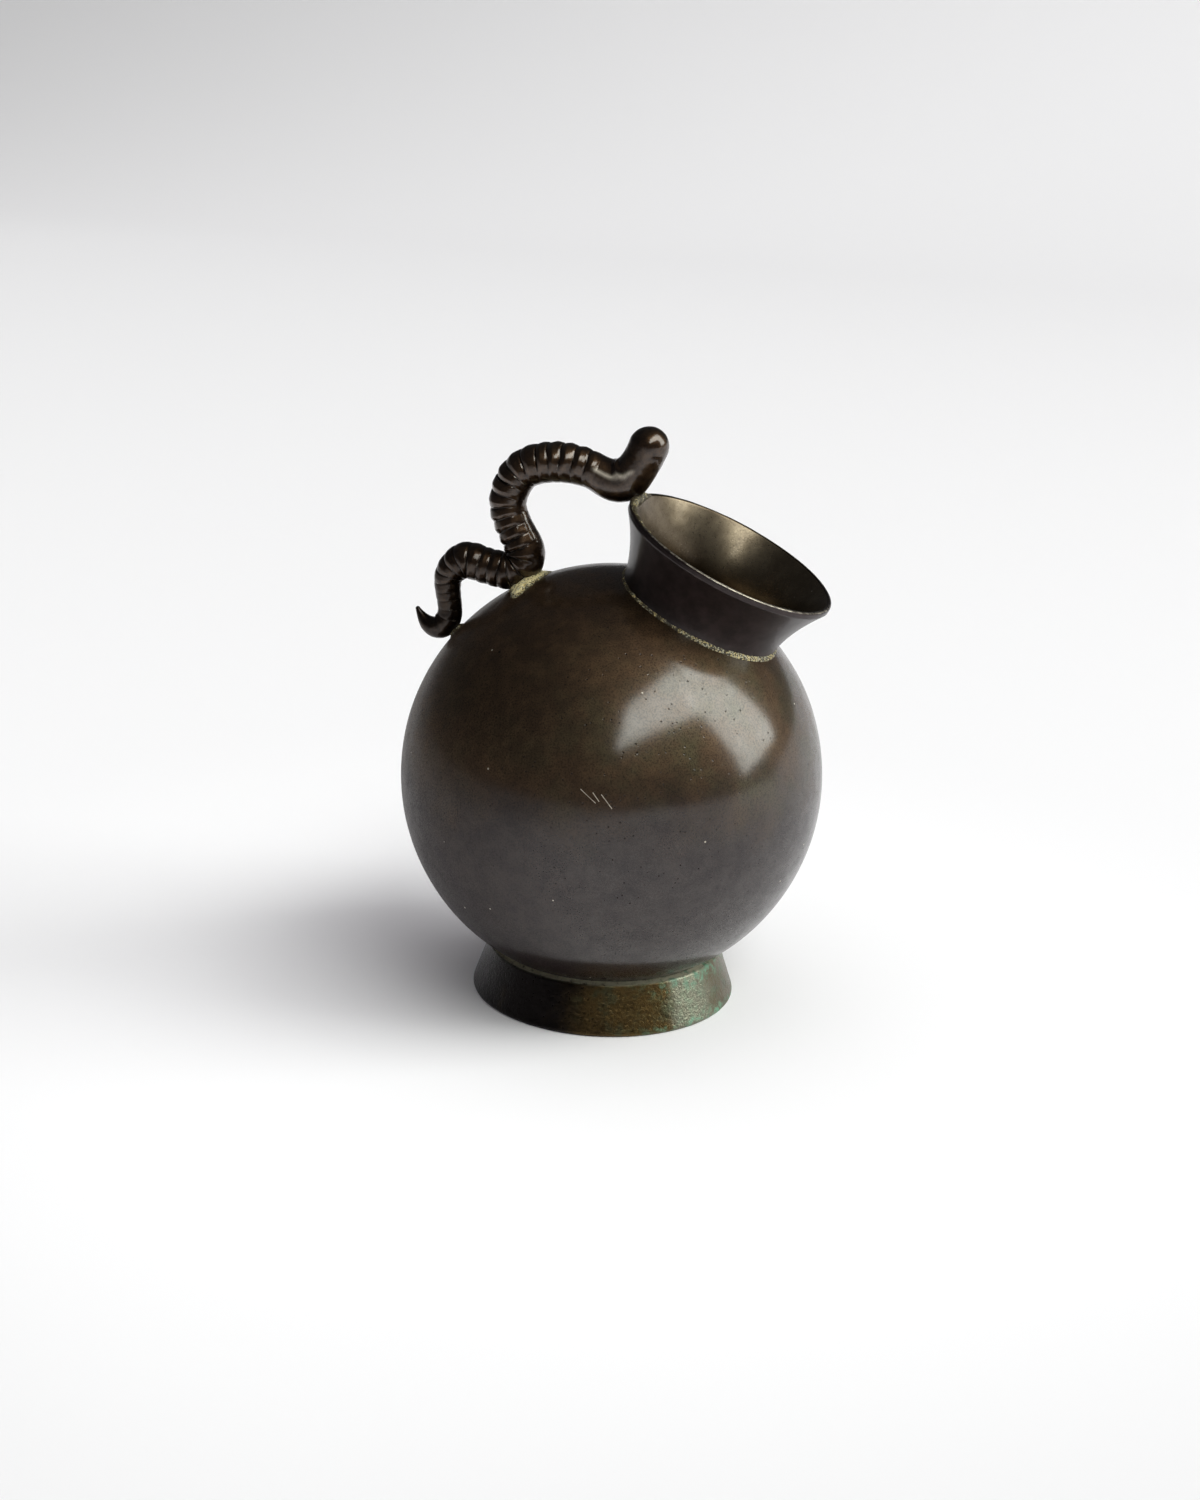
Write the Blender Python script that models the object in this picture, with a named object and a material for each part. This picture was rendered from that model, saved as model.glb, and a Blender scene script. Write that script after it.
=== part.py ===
"""Miniature jug-shaped vase in patinated bronze.

A hollow globe stands on a flared foot ring, a short flared neck leans out of its top, and
a worm-shaped handle runs from the neck's rim over an arch to the globe. Beads of filler
metal join the pieces. Units are metres and +Z is up. The origin is the centre of the face
that the foot stands on, and the vase is symmetrical about the XZ plane, with the neck
leaning to +X and the handle on the -X side.
"""

import math

import bmesh
import bpy
import numpy as np
from mathutils import Vector

MM = 0.001

# Clear gap between two pieces that touch, and the film of filler metal in a brazed seat
GAP = 0.3 * MM
BRAZE_FILM = 0.3 * MM

# Globe
GLOBE_RADIUS = 35.0 * MM
GLOBE_WALL = 1.5 * MM
GLOBE_CLEARANCE = 2.9 * MM

# Foot ring: the lip is the flat land round the globe, the seat is the land under it
FOOT_HEIGHT = 8.2 * MM
FOOT_LIP_WIDTH = 1.2 * MM
FOOT_SEAT_WIDTH = 0.9 * MM
FOOT_FLARE = 1.9 * MM
FOOT_LIP_ROUND = 0.45 * MM
FOOT_EDGE_ROUND = 0.8 * MM
SOLDER_LEG = 1.4 * MM
SOLDER_HOLLOW = 0.3

# Neck, turned about an axis that leaves the globe's centre at this tilt from the vertical
NECK_TILT = math.radians(24.8)
NECK_ROOT_RADIUS = 13.7 * MM
NECK_RIM_RADIUS = 18.1 * MM
NECK_LENGTH = 11.3 * MM
NECK_WALL = 1.0 * MM
NECK_FLARE_POWER = 1.6
NECK_RIM_BAND = 0.9 * MM
NECK_RIM_ROUND = 0.3 * MM
NECK_BRAZE_LEG = 0.6 * MM
BRAZE_SWELL = 0.4

# Worm handle: where it is brazed to the globe, its thickest radius and its rings
SADDLE_ANGLE = math.radians(27.0)
TAIL_ANGLE = math.radians(52.0)
WORM_RADIUS = 3.2 * MM
TAIL_GIRTH = 0.68
WORM_PLAIN_HEAD = 14.5 * MM
WORM_PLAIN_TAIL = 6.0 * MM
RING_PITCH_FRONT = 2.5 * MM
RING_PITCH_BACK = 1.4 * MM
RING_DEPTH = 0.28 * MM

# One ring of the worm: share of its length, and share of the groove's depth there
RING_BAND = ((0.0, 1.0), (0.2, 0.25), (0.5, 0.0), (0.8, 0.25))

# Half lengths of the braze pools: along the handle, across it and out from the seat
SADDLE_POOL = Vector((3.5, 3.4, 1.5)) * MM
TAIL_POOL = Vector((1.8, 1.7, 1.0)) * MM
RIM_POOL = Vector((2.4, 2.4, 1.7)) * MM

TURN_STEPS = 48
WORM_SIDES = 14
ROUTE_STEPS = 24
HEAD_STEPS = 12
TAIL_STEPS = 9
FOLD_LIMIT = 0.88

GLOBE_CENTRE = Vector((0, 0, GLOBE_CLEARANCE + GLOBE_RADIUS))
SEAT_OFFSET = BRAZE_FILM + 2 * GAP


def clear_scene():
    for obj in list(bpy.data.objects):
        bpy.data.objects.remove(obj, do_unlink=True)


def finish(name, colour, roughness, metallic=1.0):
    """A plain metal material."""
    material = bpy.data.materials.new(name)
    material.use_nodes = True
    shader = material.node_tree.nodes["Principled BSDF"]
    shader.inputs["Base Color"].default_value = (*colour, 1)
    shader.inputs["Roughness"].default_value = roughness
    shader.inputs["Metallic"].default_value = metallic
    return material


def add_object(name, bm, parent, material=None):
    """Makes an object of the bmesh under the parent. With no material it is a hidden cutter."""
    mesh = bpy.data.meshes.new(name)
    bm.to_mesh(mesh)
    bm.free()
    mesh.shade_smooth()
    obj = bpy.data.objects.new(name, mesh)
    bpy.context.scene.collection.objects.link(obj)
    obj.parent = parent
    if material:
        mesh.materials.append(material)
    else:
        obj.hide_render = True
        obj.display_type = "WIRE"
    return obj


def turned(name, outline, parent, material=None, closed=True):
    """Turns an outline of (radius, height) points about the parent's Z axis.

    The outline runs down the outer side and up the inner one.
    """
    bm = bmesh.new()
    points = [bm.verts.new((radius, 0, height)) for radius, height in outline]
    for start, end in zip(points, points[1:]):
        bm.edges.new((start, end))
    if closed:
        bm.edges.new((points[-1], points[0]))
    obj = add_object(name, bm, parent, material)
    screw = obj.modifiers.new("turn", "SCREW")
    screw.steps = TURN_STEPS
    screw.render_steps = TURN_STEPS
    screw.use_merge_vertices = True
    screw.merge_threshold = 0.00001
    return obj


def cut(obj, *cutters):
    for cutter in cutters:
        boolean = obj.modifiers.new(f"clear_{cutter.name}", "BOOLEAN")
        boolean.operation = "DIFFERENCE"
        boolean.solver = "EXACT"
        boolean.object = cutter


def arc(centre, radius, start, end, steps):
    """Points on an arc between two angles, which are measured from the radius axis."""
    angles = np.linspace(start, end, steps + 1)
    return [(centre[0] + radius * math.cos(a), centre[1] + radius * math.sin(a)) for a in angles]


def sphere_height(radius, at_radius):
    return math.sqrt(radius**2 - at_radius**2)


def neck_root_height():
    return sphere_height(GLOBE_RADIUS + GAP, NECK_ROOT_RADIUS)


def neck_rim_height():
    return neck_root_height() + NECK_LENGTH


def neck_side(share, depth=0.0):
    """A point of the neck's flare, from its root (0) to the rim band (1), this deep inside its outer side."""
    flare = NECK_RIM_RADIUS - NECK_ROOT_RADIUS
    rise = NECK_LENGTH - NECK_RIM_BAND
    radius = NECK_ROOT_RADIUS + flare * share**NECK_FLARE_POWER
    lean = math.atan(flare * NECK_FLARE_POWER * share ** (NECK_FLARE_POWER - 1) / rise)
    return radius - depth / math.cos(lean), neck_root_height() + rise * share


def neck_outline(offset=0.0, steps=7):
    """The neck's section: a flared wall, a rim band with round edges, and a foot that follows the globe.

    With an offset it is the section of a cutter that clears the neck by that much.
    """
    shares = np.linspace(0, 1, steps + 1)
    outer = [neck_side(share, -offset) for share in reversed(shares)]
    inner = [neck_side(share, NECK_WALL + offset) for share in shares]
    bore = inner[0][0]
    inner[0] = (bore, sphere_height(GLOBE_RADIUS + GAP, bore))
    rounding = NECK_RIM_ROUND + offset
    height = neck_rim_height() - NECK_RIM_ROUND
    inner_corner = arc((inner[-1][0] + rounding, height), rounding, math.pi, math.pi / 2, 2)
    outer_corner = arc((outer[0][0] - rounding, height), rounding, math.pi / 2, 0, 2)
    return inner_corner + outer_corner + outer + inner


def globe_outline(steps_out=22, steps_in=12):
    """From the inner pole up the inside to the opening under the neck, and down the outside."""
    opening = neck_side(0, NECK_WALL)[0]
    inner_radius = GLOBE_RADIUS - GLOBE_WALL
    pole = -math.pi / 2
    inside = arc((0, 0), inner_radius, pole, math.acos(opening / inner_radius), steps_in)
    outside = arc((0, 0), GLOBE_RADIUS, math.acos(opening / GLOBE_RADIUS), pole, steps_out)
    inside[0] = (0, -inner_radius)
    outside[-1] = (0, -GLOBE_RADIUS)
    return inside + outside


def foot_seat_height(radius):
    return GLOBE_CENTRE.z - sphere_height(GLOBE_RADIUS + GAP, radius)


def foot_radii():
    """Radii of the seat's outer edge, the lip's outer edge and the inner wall's top."""
    seat = math.sqrt((GLOBE_RADIUS + GAP) ** 2 - (GLOBE_CENTRE.z - FOOT_HEIGHT) ** 2)
    return seat, seat + FOOT_LIP_WIDTH, seat - FOOT_SEAT_WIDTH


def foot_outline():
    seat, lip, inner = foot_radii()
    base = lip + FOOT_FLARE
    lean = math.atan(FOOT_FLARE / FOOT_HEIGHT)
    lip_centre = (lip - FOOT_LIP_ROUND, FOOT_HEIGHT - FOOT_LIP_ROUND)
    edge_centre = (base - FOOT_EDGE_ROUND, FOOT_EDGE_ROUND)
    return [
        (seat, FOOT_HEIGHT),
        *arc(lip_centre, FOOT_LIP_ROUND, math.pi / 2, lean, 3),
        *arc(edge_centre, FOOT_EDGE_ROUND, lean, -math.pi / 2, 4),
        (inner + FOOT_FLARE, 0),
        (inner, foot_seat_height(inner)),
    ]


def bead_front(corner, start, end, swell):
    """The middle of a bead's free side, pushed out from its corner, or drawn in where swell is negative."""
    middle = ((start[0] + end[0]) / 2, (start[1] + end[1]) / 2)
    return tuple(m + swell * (m - c) for m, c in zip(middle, corner))


def neck_braze_outline():
    """A rounded bead in the corner between the neck's wall and the globe."""
    sphere = GLOBE_RADIUS + GAP
    wall = NECK_ROOT_RADIUS + GAP
    reach = wall + NECK_BRAZE_LEG
    corner = (wall, sphere_height(sphere, wall))
    top = neck_side((NECK_BRAZE_LEG + GAP) / NECK_LENGTH, -GAP)
    end = (reach, sphere_height(sphere, reach))
    return [top, bead_front(corner, top, end, BRAZE_SWELL), end, corner]


def foot_solder_outline():
    """A hollow fillet in the corner between the globe's underside and the foot ring's inner wall."""
    wall = foot_radii()[2] - GAP
    reach = wall - SOLDER_LEG
    corner = (wall, foot_seat_height(wall))
    bottom = (wall, corner[1] - SOLDER_LEG)
    end = (reach, foot_seat_height(reach))
    return [corner, bottom, bead_front(corner, bottom, end, -SOLDER_HOLLOW), end]


def on_globe(angle, height):
    """A point of the XZ plane over the globe, at an angle from the top towards -X."""
    distance = GLOBE_RADIUS + height
    return GLOBE_CENTRE + Vector((-math.sin(angle), 0, math.cos(angle))) * distance


def rim_back():
    """The highest point of the neck's rim, where the worm's throat lies on it."""
    axis = Vector((math.sin(NECK_TILT), 0, math.cos(NECK_TILT)))
    back = Vector((-math.cos(NECK_TILT), 0, math.sin(NECK_TILT)))
    return GLOBE_CENTRE + axis * neck_rim_height() + back * NECK_RIM_RADIUS


def worm_knots():
    """The worm's middle line from head to tail: x and z, with the girth as a share of its radius.

    The head follows the rim, the arch ends on the saddle seat, and the tail hangs over its own seat.
    """
    rim = rim_back()
    saddle = on_globe(SADDLE_ANGLE, WORM_RADIUS)
    tail = on_globe(TAIL_ANGLE, TAIL_GIRTH * WORM_RADIUS)
    route = (
        (rim, 1.9, 8.1, 0.92),
        (rim, 0.1, 4.3, 0.93),
        (rim, -1.2, 2.2, 0.95),
        (rim, -3.6, 2.0, 1.0),
        (rim, -7.6, 3.1, 0.96),
        (rim, -13.4, 4.3, 1.03),
        (rim, -18.9, 2.5, 1.0),
        (saddle, -2.0, 10.6, 0.95),
        (saddle, -1.1, 7.0, 0.94),
        (saddle, 1.3, 2.4, 1.0),
        (saddle, 0.8, 0.1, 1.02),
        (saddle, -1.5, -1.2, 0.97),
        (saddle, -5.9, -0.2, 0.92),
        (saddle, -9.0, -0.1, 0.95),
        (tail, 0.0, 8.0, 0.74),
        (tail, 0.4, 3.2, 0.63),
        (tail, 0.4, 1.1, 0.65),
        (tail, -0.9, -0.7, TAIL_GIRTH),
        (tail, -2.9, -0.8, 0.52),
        (tail, -4.3, 0.4, 0.31),
        (tail, -5.2, 1.9, 0.13),
    )
    return [Vector((at.x + dx * MM, at.z + dz * MM, girth)) for at, dx, dz, girth in route]


def worm_route():
    """Distances along a smooth curve through the knots, with x, z, girth and bend at each."""
    knots = worm_knots()
    ends = [2 * knots[0] - knots[1], *knots, 2 * knots[-1] - knots[-2]]
    points = []
    for before, start, end, after in zip(ends, ends[1:], ends[2:], ends[3:]):
        for share in np.arange(ROUTE_STEPS) / ROUTE_STEPS:
            bend = 2 * before - 5 * start + 4 * end - after
            twist = 3 * start - before - 3 * end + after
            point = 2 * start + (end - before) * share + bend * share**2 + twist * share**3
            points.append(point / 2)
    points = np.array([*points, knots[-1]])
    steps = np.hypot(np.diff(points[:, 0]), np.diff(points[:, 1]))
    distance = np.concatenate([[0], np.cumsum(steps)])
    even = np.linspace(0, distance[-1], len(distance))
    x, z, girth = (np.interp(even, distance, column) for column in points.T)
    heading = np.unwrap(np.arctan2(np.gradient(z), np.gradient(x)))
    return even, x, z, girth, heading, np.gradient(heading, even)


def worm_stations(length):
    """Distances along the worm and how deep the surface is drawn in at each: smooth, ringed, smooth."""
    stations = [(start, 0.0) for start in np.linspace(0, WORM_PLAIN_HEAD, HEAD_STEPS)[:-1]]
    ringed = length - WORM_PLAIN_HEAD - WORM_PLAIN_TAIL
    count = round(ringed / ((RING_PITCH_FRONT + RING_PITCH_BACK) / 2))
    pitches = np.linspace(RING_PITCH_FRONT, RING_PITCH_BACK, count)
    starts = WORM_PLAIN_HEAD + np.concatenate([[0], np.cumsum(pitches)]) * ringed / pitches.sum()
    for start, end in zip(starts, starts[1:]):
        stations += [(start + share * (end - start), depth) for share, depth in RING_BAND]
    stations += [(starts[-1], 1.0)]
    stations += [(length - left, 0.0) for left in np.linspace(WORM_PLAIN_TAIL, 0, TAIL_STEPS)[1:]]
    return stations


def worm_sections(offset):
    """Middle point, heading, radius and bend of each cross-section, with a round cap at both ends."""
    even, x, z, girth, heading, bend = worm_route()
    sections = []
    for distance, depth in worm_stations(even[-1]):
        at = [np.interp(distance, even, column) for column in (x, z, girth, heading, bend)]
        groove = RING_DEPTH * depth * min(1, at[2])
        sections.append((at[0], at[1], at[3], WORM_RADIUS * at[2] - groove + offset, at[4]))
    cap_angles = np.radians((78, 55, 30))
    for place, side in ((0, -1), (len(sections), 1)):
        x, z, heading, radius, _ = sections[min(place, len(sections) - 1)]
        cap = [
            (
                x + side * radius * math.sin(a) * math.cos(heading),
                z + side * radius * math.sin(a) * math.sin(heading),
                heading,
                radius * math.cos(a),
                0,
            )
            for a in (cap_angles if side < 0 else reversed(cap_angles))
        ]
        sections[place:place] = cap
    return sections


def worm_tube(name, parent, material=None, offset=0.0):
    """A round tube along the worm's middle line, drawn together inside tight bends."""
    bm = bmesh.new()
    loops = []
    for x, z, heading, radius, bend in worm_sections(offset):
        loop = []
        for angle in np.arange(WORM_SIDES) * 2 * math.pi / WORM_SIDES:
            side = radius * math.cos(angle)
            if side * bend > FOLD_LIMIT:
                side = FOLD_LIMIT / bend
            place = (x - side * math.sin(heading), radius * math.sin(angle), z + side * math.cos(heading))
            loop.append(bm.verts.new(place))
        loops.append(loop)
    for near, far in zip(loops, loops[1:]):
        for k in range(WORM_SIDES):
            after = (k + 1) % WORM_SIDES
            bm.faces.new((near[k], near[after], far[after], far[k]))
    bm.faces.new(reversed(loops[0]))
    bm.faces.new(loops[-1])
    bmesh.ops.recalc_face_normals(bm, faces=bm.faces)
    return add_object(name, bm, parent, material)


def ball(name, radius, parent):
    bm = bmesh.new()
    bmesh.ops.create_uvsphere(bm, u_segments=TURN_STEPS, v_segments=TURN_STEPS // 2, radius=radius)
    return add_object(name, bm, parent)


def pool(name, half_lengths, place, angle, parent, material):
    """A lens of filler metal whose flat side faces along the given angle from the vertical."""
    bm = bmesh.new()
    bmesh.ops.create_uvsphere(bm, u_segments=16, v_segments=10, radius=1)
    bmesh.ops.scale(bm, vec=half_lengths, verts=bm.verts)
    obj = add_object(name, bm, parent, material)
    obj.location = place
    obj.rotation_euler.y = -angle
    return obj


def main():
    clear_scene()
    brown = finish("globe_bronze", (0.13, 0.085, 0.055), 0.33)
    olive = finish("foot_bronze", (0.12, 0.095, 0.05), 0.45)
    dark = finish("neck_bronze", (0.075, 0.055, 0.048), 0.25)
    black = finish("worm_bronze", (0.05, 0.036, 0.026), 0.3)
    brass = finish("braze_brass", (0.42, 0.3, 0.11), 0.5)
    grey = finish("solder_grey", (0.25, 0.23, 0.2), 0.5)

    vase = bpy.data.objects.new("vase", None)
    tilted = bpy.data.objects.new("neck_axis", None)
    centred = bpy.data.objects.new("globe_centre", None)
    for empty in (vase, tilted, centred):
        bpy.context.scene.collection.objects.link(empty)
    centred.parent = vase
    centred.location = GLOBE_CENTRE
    tilted.parent = centred
    tilted.rotation_euler.y = NECK_TILT

    turned("globe", globe_outline(), tilted, brown, closed=False)
    turned("neck", neck_outline(), tilted, dark)
    turned("neck_braze", neck_braze_outline(), tilted, brass)
    turned("foot_ring", foot_outline(), vase, olive)
    turned("foot_solder", foot_solder_outline(), vase, grey)

    globe_clear = ball("globe_clear", GLOBE_RADIUS + GAP, centred)
    globe_film = ball("globe_film", GLOBE_RADIUS + GAP + BRAZE_FILM, centred)
    globe_seat = ball("globe_seat", GLOBE_RADIUS + SEAT_OFFSET, centred)
    neck_clear = turned("neck_clear", neck_outline(GAP), tilted)
    neck_film = turned("neck_film", neck_outline(GAP + BRAZE_FILM), tilted)
    neck_seat = turned("neck_seat", neck_outline(SEAT_OFFSET), tilted)

    worm = worm_tube("worm_handle", vase, black)
    cut(worm, globe_seat, neck_seat)
    worm_clear = worm_tube("worm_clear", vase, offset=GAP)
    cut(worm_clear, globe_film, neck_film)

    saddle = on_globe(SADDLE_ANGLE, GAP)
    saddle_braze = pool("saddle_braze", SADDLE_POOL, saddle, SADDLE_ANGLE, vase, brass)
    cut(saddle_braze, globe_clear, worm_clear)
    tail = on_globe(TAIL_ANGLE, GAP)
    tail_braze = pool("tail_braze", TAIL_POOL, tail, TAIL_ANGLE, vase, brass)
    cut(tail_braze, globe_clear, worm_clear)
    rim_braze = pool("rim_braze", RIM_POOL, rim_back(), 0, vase, brass)
    cut(rim_braze, neck_clear, worm_clear)


if __name__ == "__main__":
    main()
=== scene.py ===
"""Looks of a patinated bronze miniature vase: finely modelled pieces, finishes and a studio stage.

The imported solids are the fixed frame. Each operator builds one piece, or a group of like pieces, where the
frame has its plain solid, and stands it in the solid's stead. Sizes are in metres and +Z is up.
"""

import math

import bmesh
import bpy
import numpy as np
from mathutils import Matrix, Vector, noise


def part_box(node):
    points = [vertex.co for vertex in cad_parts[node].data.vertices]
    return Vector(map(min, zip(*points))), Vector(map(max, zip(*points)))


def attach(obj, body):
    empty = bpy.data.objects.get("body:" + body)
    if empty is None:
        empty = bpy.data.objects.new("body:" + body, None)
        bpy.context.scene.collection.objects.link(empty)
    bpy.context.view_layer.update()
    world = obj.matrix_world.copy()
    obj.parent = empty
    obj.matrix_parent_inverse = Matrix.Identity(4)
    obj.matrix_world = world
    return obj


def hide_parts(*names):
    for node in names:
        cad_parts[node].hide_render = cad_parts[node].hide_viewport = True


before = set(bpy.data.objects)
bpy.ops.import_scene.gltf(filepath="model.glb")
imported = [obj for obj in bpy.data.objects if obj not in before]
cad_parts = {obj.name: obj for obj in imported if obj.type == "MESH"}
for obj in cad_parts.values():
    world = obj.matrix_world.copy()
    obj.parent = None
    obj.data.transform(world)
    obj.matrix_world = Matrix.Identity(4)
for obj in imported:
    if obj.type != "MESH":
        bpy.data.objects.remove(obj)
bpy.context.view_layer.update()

bl_info = {
    "name": "Bronze miniature vase",
    "version": (1, 0, 0),
    "blender": (4, 5, 0),
    "location": "View3D > Sidebar > Vase",
    "description": "Builds a patinated bronze vase with a worm handle round its packed solids",
    "category": "Add Mesh",
}

MM = 0.001

# The globe and foot ring as the frame has them, with the solids' facets rounded away
GLOBE_LOW, GLOBE_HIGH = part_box("globe")
GLOBE_RADIUS = round(GLOBE_HIGH.x, 4)
GLOBE_HEIGHT = round(GLOBE_LOW.z + GLOBE_RADIUS, 4)
FOOT_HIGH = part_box("foot_ring")[1]

# Columns of points round the globe, the neck and the foot ring
COLUMNS = 288

# Scratches on the front of the globe: X and Z of both ends, and their width (mm)
SCRATCHES = (
    (3.7, 46.4, 6.1, 44.5),
    (5.6, 46.0, 6.6, 44.8),
    (6.9, 45.8, 8.6, 43.8),
)
SCRATCH_WIDTH = 0.08

# How worn the first points of the neck's section are, from inside the rim over its edge and down the band
RIM_WEAR = (0.0, 0.1, 0.3, 0.45, 0.6, 0.85, 1.0, 1.0, 0.9, 0.7, 0.4, 0.2, 0.1)

# How rubbed the first points of the foot ring's section are, from the globe over the lip
LIP_WEAR = (*[1.0] * 7, 0.8, 0.5, 0.2, 0.1)

# How pale the foot ring's patina is, partly painted light: black on the left, away from the lights, as
# painted shade, and palest at the front right as a painted highlight; turn from +X (degrees) and tone
FOOT_TONE_SHADE_AND_HIGHLIGHT = (
    (0, 0.72), (60, 0.6), (150, 0.25), (215, 0.0), (258, 0.04), (276, 0.22), (292, 0.5),
    (304, 0.5), (311, 0.42), (320, 0.95), (332, 1.0), (345, 0.78), (360, 0.72),
)

# The worm's middle line from head to tail: the way from each anchor in X and Z (mm), and the girth
WORM_KNOTS = {
    "rim": (
        (2.0, 8.2, 1.03), (0.15, 4.4, 1.03), (-1.2, 2.2, 0.98), (-3.6, 2.1, 1.0),
        (-7.6, 3.85, 0.96), (-13.4, 4.4, 1.03), (-18.9, 2.5, 1.0),
    ),
    "saddle": (
        (-2.0, 10.6, 0.95), (-1.1, 7.0, 0.94), (1.3, 2.4, 1.0), (0.8, 0.1, 1.02),
        (-1.5, -1.2, 0.97), (-5.9, -0.7, 0.92), (-9.0, -0.1, 0.95),
    ),
    "tail": (
        (0.0, 8.0, 0.74), (0.4, 3.2, 0.63), (0.4, 1.1, 0.65), (-0.9, -0.7, 0.68),
        (-2.9, -0.8, 0.52), (-4.3, 0.4, 0.31), (-5.2, 1.9, 0.13),
    ),
}

# Girth of the tail's bend where it touches the globe
TAIL_GIRTH = 0.68

# The fold along the worm's throat, a low ridge with a painted highlight line in the rubbed colour along it:
# way from the head's end (mm) and turn (degrees), and its spread
THROAT_FOLD_AND_HIGHLIGHT = ((3.1, 276), (5.0, 261), (7.0, 251), (9.5, 250), (12.0, 251), (13.2, 252))
FOLD_SPREAD = math.radians(6)

# Air between the worm and what it is filed to sit on
SEAT_GAP = 0.02 * MM

# The braze pools: half length down the globe, half width across it, and height (mm)
SADDLE_POOL = (3.6, 8.6, 0.9)
TAIL_POOL = (1.9, 1.7, 0.8)

# How far down the globe the saddle's pool is shifted from the middle of the worm's seat
SADDLE_POOL_SHIFT = math.radians(-1.2)

# The braze on the rim: turn about the neck's axis (degrees) and half thickness (mm)
RIM_BEAD = ((160, 0.1), (172, 0.9), (184, 0.95), (192, 0.65), (204, 0.4), (238, 0.1))

# The lights: where each stands and how it is then turned (degrees), with its size at a distance of 1
WINDOW = dict(turn=93.3, rise=36.4, width=0.614, height=0.954, swing=43.3, tip=8.3, roll=27.8)
CEILING = dict(turn=42.0, rise=52.0, width=0.830, height=0.664, swing=54.1, tip=45.8, roll=28.8)
OVERHEAD = dict(turn=0, rise=90, width=1.6, height=1.6, swing=0, tip=0, roll=0)


def number(name, default, description, **kind):
    return bpy.props.FloatProperty(name=name, description=description, default=default, **kind)


def length(name, default, description):
    return number(name, default, description, unit="LENGTH", subtype="DISTANCE", precision=5)


def angle(name, degrees, description):
    return number(name, math.radians(degrees), description, unit="ROTATION", subtype="ANGLE")


def strength(name, default, description):
    return number(name, default, description, min=0, subtype="POWER")


def colour(name, default, description):
    return bpy.props.FloatVectorProperty(
        name=name, description=description, default=default, min=0, max=1, size=3, subtype="COLOR"
    )


class VaseSizes(bpy.types.PropertyGroup):
    """Sizes of the globe, the neck and the foot ring."""

    globe_radius: length("Globe radius", GLOBE_RADIUS, "Outer radius of the hollow globe")
    globe_wall: length("Globe wall", 1.5 * MM, "Thickness of the globe's wall")
    neck_tilt: angle("Neck tilt", 24.8, "Lean of the neck's axis, through the globe's centre")
    neck_root_radius: length("Neck root radius", 13.7 * MM, "Outer radius of the neck at the globe")
    neck_rim_radius: length("Neck rim radius", 18.1 * MM, "Outer radius of the neck's rim")
    neck_length: length("Neck length", 11.3 * MM, "From the neck's root to its rim, along the axis")
    neck_wall: length("Neck wall", 1.0 * MM, "Thickness of the neck's wall")
    neck_flare: number("Neck flare", 1.6, "Power of the flare's curve")
    rim_wall: length("Rim wall", 0.7 * MM, "Thickness of the neck's wall at its rim")
    rim_band: length("Rim band", 0.9 * MM, "Height of the upright band round the rim")
    rim_round: length("Rim rounding", 0.34 * MM, "Rounding of the rim's edges")
    foot_height: length("Foot height", FOOT_HIGH.z, "Height of the foot ring's lip")
    foot_radius: length("Foot radius", FOOT_HIGH.x, "Radius of the foot ring at the ground")
    foot_seat: length("Foot seat", 0.9 * MM, "Width of the seat under the globe")
    foot_flare: length("Foot flare", 2.4 * MM, "How far the foot ring widens towards the ground")
    foot_lip_round: length("Foot lip rounding", 0.6 * MM, "Rounding of the lip's outer edge")
    foot_edge_round: length("Foot edge rounding", 0.5 * MM, "Rounding of the edge that stands on the ground")
    foot_land: length("Foot land", 0.28 * MM, "How far the lip rises to the globe")
    solder_leg: length("Solder width", 1.5 * MM, "Width of the solder fillet inside the foot ring")
    bead_leg: length("Bead width", 0.57 * MM, "Width of the braze bead round the neck's root")


class WormSizes(bpy.types.PropertyGroup):
    """Sizes of the worm handle and its rings."""

    radius: length("Worm radius", 3.2 * MM, "Radius of the worm where its girth is 1")
    saddle_angle: angle("Saddle angle", 27.0, "Where the lower bend sits on the globe, from the top")
    tail_angle: angle("Tail angle", 52.0, "Where the tail's bend touches the globe, from the top")
    plain_head: length("Plain head", 11.9 * MM, "Length of the head before the first ring")
    plain_tail: length("Plain tail", 7.8 * MM, "Length of the tail after the last ring")
    pitch_front: length("Ring pitch in front", 2.15 * MM, "Spacing of the grooves behind the head")
    pitch_back: length("Ring pitch at the back", 1.5 * MM, "Spacing of the grooves before the tail")
    groove_depth: length("Groove depth", 0.22 * MM, "Depth of the grooves between the rings")
    groove_width: length("Groove width", 0.15 * MM, "Half width of a groove")
    swell: length("Ring swell", 0.42 * MM, "How far the middle of a ring stands out")
    throat: length("Throat", 7.3 * MM, "Distance from the head's end to the bend at the rim")
    # The fold is a low real ridge; the pale line along it is a painted highlight.
    fold_height: length("Fold height", 0.08 * MM, "Height of the rubbed fold along the throat")
    throat_ease: length("Throat easing", 3.4 * MM, "How far the inside of the throat's bend is smoothed")


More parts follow.
